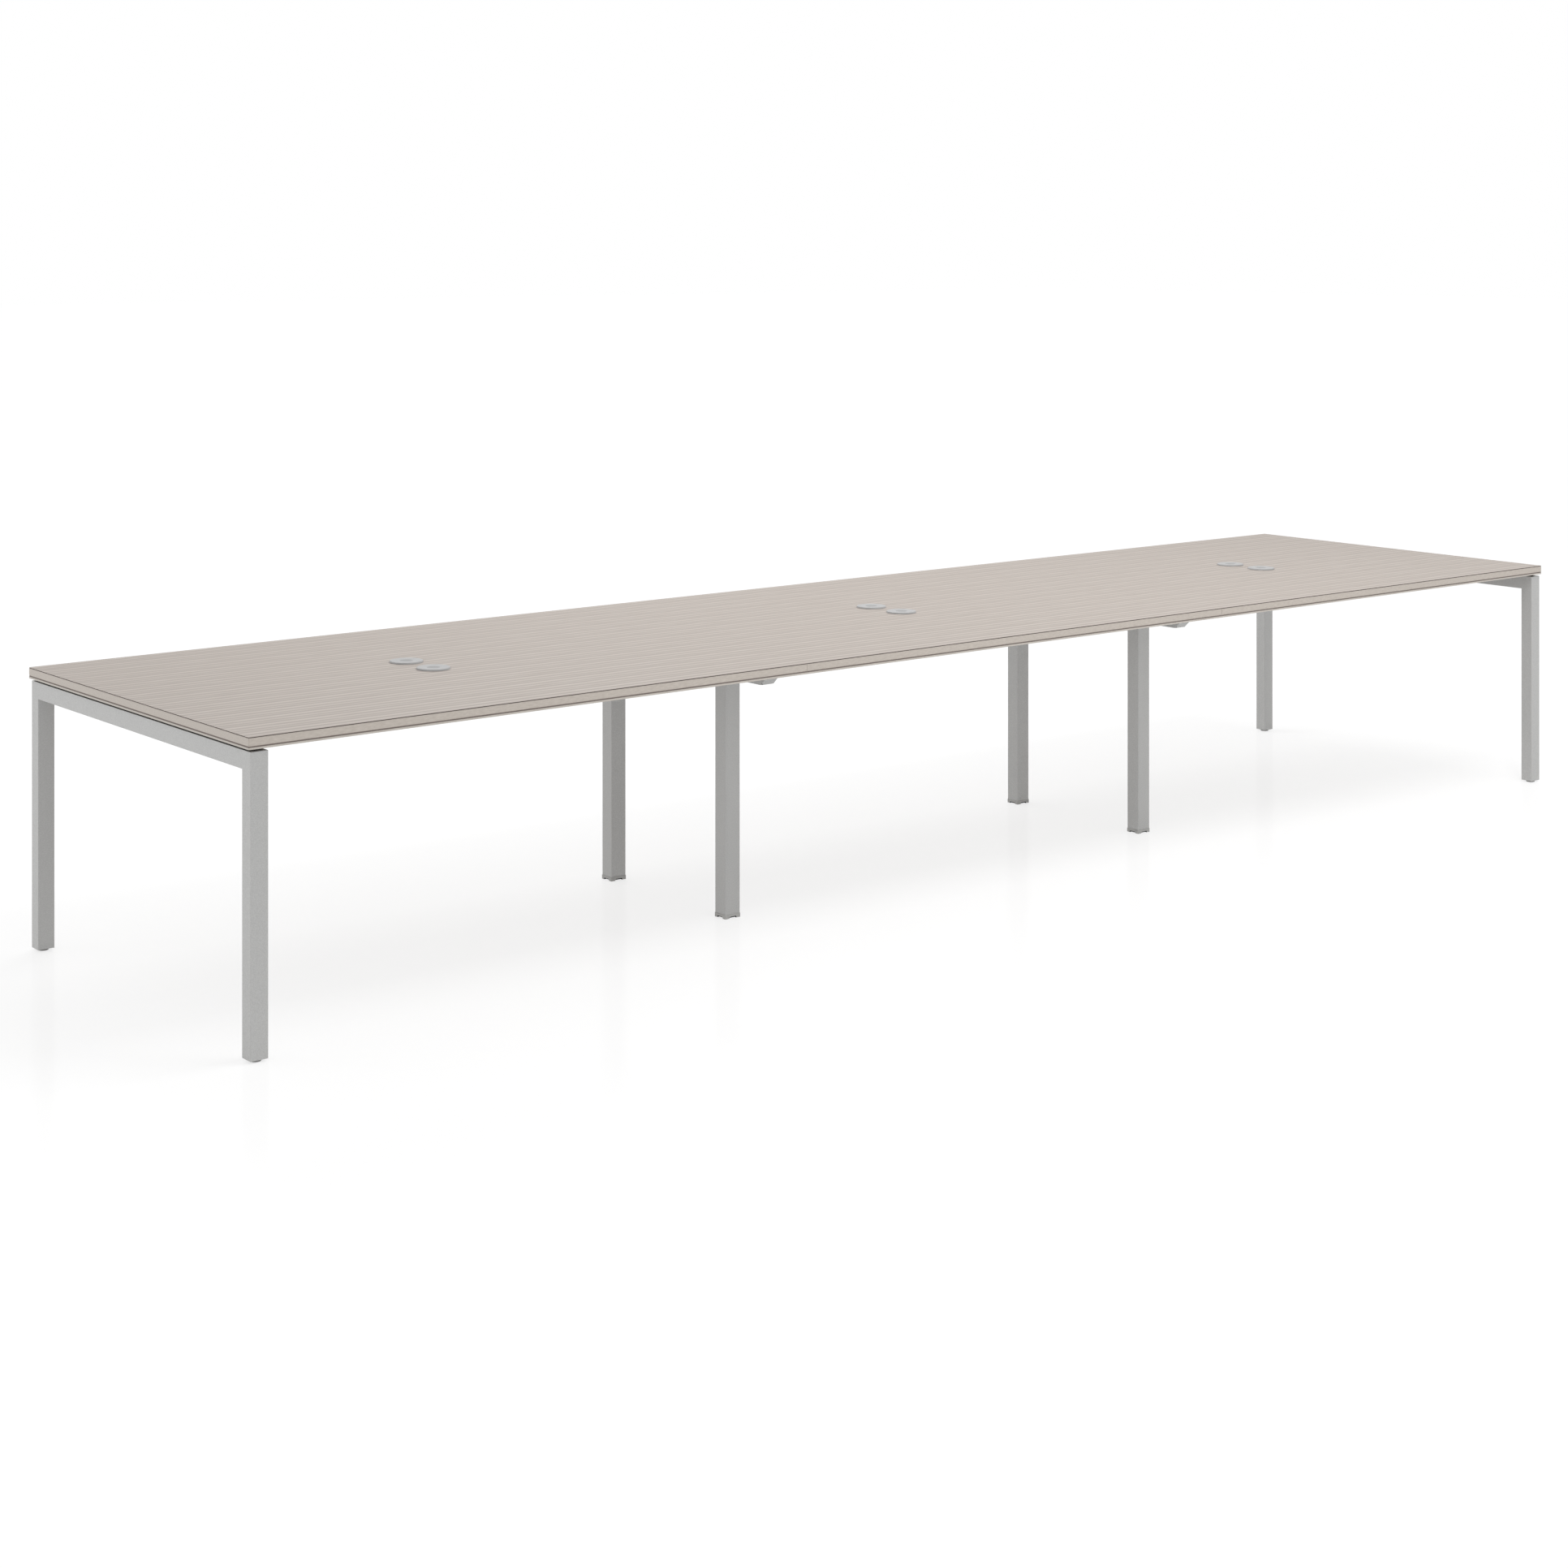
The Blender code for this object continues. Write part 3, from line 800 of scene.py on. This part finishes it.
def shapeSlot(at, half, sizes):  # half is the slot's half size along X and along Y
    low = (at.x - half[0], at.y - half[1], -sizes["slotHeight"])
    high = (at.x + half[0], at.y + half[1], sizes["slotHeight"])
    # painted shade: the cutter's black goes on the slot's walls, standing in for the shade deep in the slot
    slot = wear(addBlock(low, high), insertNylonAndSlotShade)
    into = alongY if half[0] > half[1] else alongX
    edit(slot)
    pick(slot, "EDGE", lambda at, way: abs(way[into]) > roughlyWay and at.z > 0)
    ease(sizes["slotRound"], sizes["slotSegments"])
    clearSelection()
    return slot


def shapeShoe(node, sizes):
    low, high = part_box(node)
    middle = centreOf(node)
    reach = (high - low) / 2
    collarTop = low.z + sizes["collarHeight"]
    shoe = wear(addBlock(low, (high.x, high.y, collarTop)), shoePlastic)
    edit(shoe)
    pick(shoe, "FACE", lambda at, way: way.z > sameWay)
    bpy.ops.mesh.inset(thickness=sizes["spigotInset"])
    push(0, 0, high.z - collarTop)
    pick(shoe, "EDGE", lambda at, way: abs(way.z) > roughlyWay and at.z < collarTop)
    ease(sizes["cornerRound"], sizes["cornerSegments"])
    pick(shoe, "EDGE", lambda at, way: abs(way.z) > roughlyWay and at.z > collarTop)
    ease(sizes["spigotRound"])

    def atRim(at):
        return max(abs(at.x - middle.x) - reach.x, abs(at.y - middle.y) - reach.y) > -sizes["rimBand"]

    pick(shoe, "EDGE", lambda at, way: near(at.z, collarTop) and atRim(at))
    ease(sizes["collarRound"])
    wide, deep = sizes["slotWidth"] / 2, sizes["slotDepth"]
    for sign in (-1, 1):
        onY = middle + Vector((0, sign * reach.y, 0))
        cutAway(shoe, shapeSlot(onY, (wide, deep), sizes))
        onX = middle + Vector((sign * reach.x, 0, 0))
        cutAway(shoe, shapeSlot(onX, (deep, wide), sizes))
    return shoe


firstShoe = "mid_shoe_left_front"
finishCopies(shapeShoe(firstShoe, shoeSizes), firstShoe, "mid_shoe_", "leg_shoe_", "shoe_plastic")


# Inserts in the corner legs, and the screw feet that run in them

insertSizes = {
    "cornerRound": 1.0 * mm,
    "cornerSegments": 3,
    "border": 4.0 * mm,
    "recess": 1.5 * mm,
    "boreRadius": 4.3 * mm,
    "boreSides": 40,
}


def shapeInsert(node, sizes):
    low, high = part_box(node)
    insert = wear(addBlock(low, high), insertNylonAndSlotShade)
    edit(insert)
    pick(insert, "FACE", lambda at, way: way.z < -sameWay)
    bpy.ops.mesh.inset(thickness=sizes["border"])
    push(0, 0, sizes["recess"])
    pick(insert, "EDGE", lambda at, way: abs(way.z) > roughlyWay)
    ease(sizes["cornerRound"], sizes["cornerSegments"])
    below, above = low.z - overshoot, high.z + overshoot
    bore = addRound(sizes["boreRadius"], below, above, sizes["boreSides"], centreOf(node)[:2])
    cutAway(insert, bore)
    return insert


footSizes = {
    "sides": 64,
    "discHeight": 5.2 * mm,
    "upperRound": 1.0 * mm,
    "lowerRound": 1.0 * mm,
    "roundSegments": 3,
    "studRadius": 4.0 * mm,
    "threadPitch": 1.25 * mm,
    "threadDepth": 0.75 * mm,
    "threadCrest": 0.2,  # share of the pitch
    "threadSteps": 24,
    "mergeGap": 0.01 * mm,
}


def shapeThread(low, high, at, sizes):  # a plane edge on, bent to a ridge and screwed up the stud
    clearSelection()
    pitch, depth = sizes["threadPitch"], sizes["threadDepth"]
    middle = sizes["studRadius"] - depth / 2
    bpy.ops.mesh.primitive_plane_add(size=1, location=(middle, 0, low), rotation=(math.pi / 2, 0, 0))
    bpy.ops.transform.resize(value=(depth, 1, pitch))
    thread = settle()
    edit(thread)
    pick(thread, "EDGE", lambda at, way: near(at.x, sizes["studRadius"]))
    bpy.ops.transform.resize(value=(1, 1, sizes["threadCrest"]))
    bpy.ops.mesh.select_all(action="SELECT")
    bpy.ops.mesh.delete(type="ONLY_FACE")
    pick(thread, "EDGE", lambda at, way: near(at.x, sizes["studRadius"] - depth))
    bpy.ops.mesh.delete(type="EDGE")
    clearSelection()
    turns = int((high - low) / pitch)
    applyModifier(
        thread, "SCREW", axis="Z", angle=2 * math.pi, screw_offset=pitch, iterations=turns,
        steps=sizes["threadSteps"], render_steps=sizes["threadSteps"], use_merge_vertices=True
    )
    edit(thread)
    bpy.ops.mesh.remove_doubles(threshold=sizes["mergeGap"])
    bpy.ops.mesh.select_mode(type="EDGE")
    bpy.ops.mesh.select_all(action="DESELECT")
    bpy.ops.mesh.select_non_manifold(extend=False)
    bpy.ops.mesh.fill_holes(sides=0)
    bpy.ops.mesh.select_all(action="SELECT")
    bpy.ops.mesh.normals_make_consistent(inside=False)
    clearSelection()
    take(thread)
    bpy.ops.transform.translate(value=(at[0], at[1], 0))
    return wear(settle(), zinc)


def shapeFoot(node, sizes):
    low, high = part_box(node)
    at = centreOf(node)[:2]
    discTop = low.z + sizes["discHeight"]
    radius = (high.x - low.x) / 2
    disc = wear(addRound(radius, low.z, discTop, sizes["sides"], at), footPlastic)
    edit(disc)
    for level, reach in ((discTop, sizes["upperRound"]), (low.z, sizes["lowerRound"])):
        pick(disc, "EDGE", lambda middle, way: near(middle.z, level))
        ease(reach, sizes["roundSegments"])
    thread = shapeThread(discTop, high.z - sizes["threadPitch"], at, sizes)
    take(disc)
    thread.select_set(True)
    bpy.ops.object.join()
    return bpy.context.object


firstInsert = "leg_plug_left_front"
finishCopies(shapeInsert(firstInsert, insertSizes), firstInsert, "leg_plug_", "leg_insert_", "plug_plastic")
firstFoot = "levelling_foot_left_front"
finishCopies(shapeFoot(firstFoot, footSizes), firstFoot, "levelling_foot_", "screw_foot_", "foot_plastic")


# Pan-head screws up through the frames into the tops

screwSizes = {
    "headRadius": 4.5 * mm,
    "headHeight": 2.6 * mm,
    "headRound": 1.7 * mm,
    "headSegments": 4,
    "crossLength": 5.0 * mm,
    "crossWidth": 1.2 * mm,
    "crossDepth": 1.5 * mm,
    "sides": 32,
    "alongRail": (-0.40, 0.0, 0.40),
    "alongArm": (-0.36, -0.12, 0.12, 0.36),
    "armSpread": 11 * mm,  # one row for each of the two tops that meet over the arm
}


def shapeScrew(underside, sizes):
    headLow = underside - sizes["headHeight"]
    head = wear(addRound(sizes["headRadius"], headLow, underside, sizes["sides"]), zinc)
    edit(head)
    pick(head, "EDGE", lambda at, way: near(at.z, headLow))
    ease(sizes["headRound"], sizes["headSegments"])
    crossLow = underside - 2 * sizes["headHeight"]
    crossHigh = headLow + sizes["crossDepth"]
    length, width = sizes["crossLength"] / 2, sizes["crossWidth"] / 2
    for halfX, halfY in ((length, width), (width, length)):
        cutAway(head, addBlock((-halfX, -halfY, crossLow), (halfX, halfY, crossHigh)))
    return head


def setScrews(screw, name, node, places):
    heads = []
    for x, y in places:
        take(screw)
        bpy.ops.object.duplicate()
        bpy.ops.transform.translate(value=(x, y, 0))
        heads.append(settle())
    take(heads[0])
    for head in heads:
        head.select_set(True)
    bpy.ops.object.join()
    finishPiece(bpy.context.object, name, node)


screwShape = shapeScrew(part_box("end_rail_left")[0].z, screwSizes)
for side in sides:
    railX = centreOf("end_rail_" + side).x
    armX = centreOf("mid_arm_" + side).x
    railPlaces = [(railX, y) for y in screwSizes["alongRail"]]
    spread = screwSizes["armSpread"]
    armPlaces = [(armX + reach, y) for y in screwSizes["alongArm"] for reach in (-spread, spread)]
    setScrews(screwShape, "end_bar_screws_" + side, "end_rail_" + side, railPlaces)
    setScrews(screwShape, "cross_bar_screws_" + side, "mid_arm_" + side, armPlaces)
bpy.data.objects.remove(screwShape)
print("screws set")


# Camera: level, with the frame shifted down on to the desk

camera = {
    "at": (-5.102, -5.796, 1.831),
    "turnDegrees": 38.636,
    "imagePx": 1932,
    "focalPx": 3208.6,
    "axisPx": (939.4, 290.7),  # where the level axis of the lens meets the picture
    "sensor": 36.0,
    "farLimit": 200,
}
half = camera["imagePx"] / 2
clearSelection()
bpy.ops.object.camera_add(
    location=camera["at"], rotation=(math.pi / 2, 0, -math.radians(camera["turnDegrees"]))
)
eye = bpy.context.object
eye.name = "viewpoint"
eye.data.sensor_width = camera["sensor"]
eye.data.lens = camera["focalPx"] / camera["imagePx"] * camera["sensor"]
eye.data.shift_x = (half - camera["axisPx"][0]) / camera["imagePx"]
eye.data.shift_y = (camera["axisPx"][1] - half) / camera["imagePx"]
eye.data.clip_end = camera["farLimit"]
bpy.context.scene.camera = eye


# Studio: white room, a long narrow lamp high in front, fill lamps behind and on the left, and a pale
# floor that keeps a faint shadow

studio = {
    "roomLevel": 0.71,
    "lamps": {  # place, width, depth, power
        "front_lamp": ((1.15, -2.0, 4.6), 3.6, 0.18, 96),
        "rear_lamp": ((0.1, 2.7, 4.4), 3.0, 1.5, 52),
        "left_lamp": ((-6.8, 3.5, 1.3), 3.0, 1.6, 28),
    },
    "lampAim": (0, 0, 0.7),
    "floorSize": 120,
    "floorBounce": "#EDEDEC",
    # painted light: the floor's glow is stronger far off than by the desk, evening out the lamps' fall-off
    "floorGlow": (0.775, 0.82),  # by the desk, and far off
    "floorFade": (2.6, 6.0),
    "floorShade": "#909090",
    "floorGloss": 0.05,
    "floorBlur": 0.12,
}


def seenRays(tree):  # 1 for what the camera sees directly, in a gloss or through glass
    path = addNode(tree, "LightPath").outputs
    seen = path["Is Camera Ray"]
    for kind in ("Is Glossy Ray", "Is Transmission Ray"):
        seen = addNode(tree, "Math", {0: seen, 1: path[kind]}, operation="MAXIMUM").outputs[0]
    return seen


world = bpy.data.worlds.new("white studio room")
bpy.context.scene.world = world
world.use_nodes = True
roomTree = world.node_tree
room = roomTree.nodes["Background"]
room.inputs["Color"].default_value = plainWhite
brightness = {"Value": seenRays(roomTree), "To Min": studio["roomLevel"], "To Max": 1.0}
level = addNode(roomTree, "MapRange", brightness).outputs[0]
roomTree.links.new(level, room.inputs["Strength"])

for name, (place, width, depth, power) in studio["lamps"].items():
    clearSelection()
    aim = (Vector(studio["lampAim"]) - Vector(place)).to_track_quat("-Z", "Y").to_euler()
    bpy.ops.object.light_add(type="AREA", location=place, rotation=aim)
    lamp = bpy.context.object
    lamp.name = name
    lamp.data.shape = "RECTANGLE"
    lamp.data.size = width
    lamp.data.size_y = depth
    lamp.data.energy = power

clearSelection()
bpy.ops.mesh.primitive_plane_add(size=studio["floorSize"], location=(0, 0, 0))
floor = bpy.context.object
floor.name = "studio_floor"
floorPaint, floorTree, floorShader, floorPlace = newFinish("white studio floor paint")
floorTree.nodes.remove(floorShader)
bounce = addNode(floorTree, "BsdfDiffuse", {"Color": linear(studio["floorBounce"])}).outputs[0]
shade = addNode(floorTree, "BsdfDiffuse", {"Color": linear(studio["floorShade"])}).outputs[0]
# painted light: the glow rises with distance from the desk, standing in for lamp light that falls off far
# from it
away = addNode(floorTree, "VectorMath", {0: floorPlace}, operation="LENGTH").outputs["Value"]
fade = {"Value": away}
fade["From Min"], fade["From Max"] = studio["floorFade"]
fade["To Min"], fade["To Max"] = studio["floorGlow"]
glowLevel = addNode(floorTree, "MapRange", fade).outputs[0]
glow = addNode(floorTree, "Emission", {"Color": plainWhite, "Strength": glowLevel}).outputs[0]
gloss = addNode(floorTree, "BsdfAnisotropic", {"Roughness": studio["floorBlur"]}).outputs[0]
white = addNode(floorTree, "AddShader", {0: glow, 1: shade}).outputs[0]
polished = addNode(floorTree, "MixShader", {0: studio["floorGloss"], 1: white, 2: gloss}).outputs[0]
seen = addNode(floorTree, "MixShader", {0: seenRays(floorTree), 1: bounce, 2: polished}).outputs[0]
floorTree.links.new(seen, floorTree.nodes["Material Output"].inputs["Surface"])
wear(floor, floorPaint)

bpy.context.scene.view_settings.view_transform = "Standard"
print("studio set")
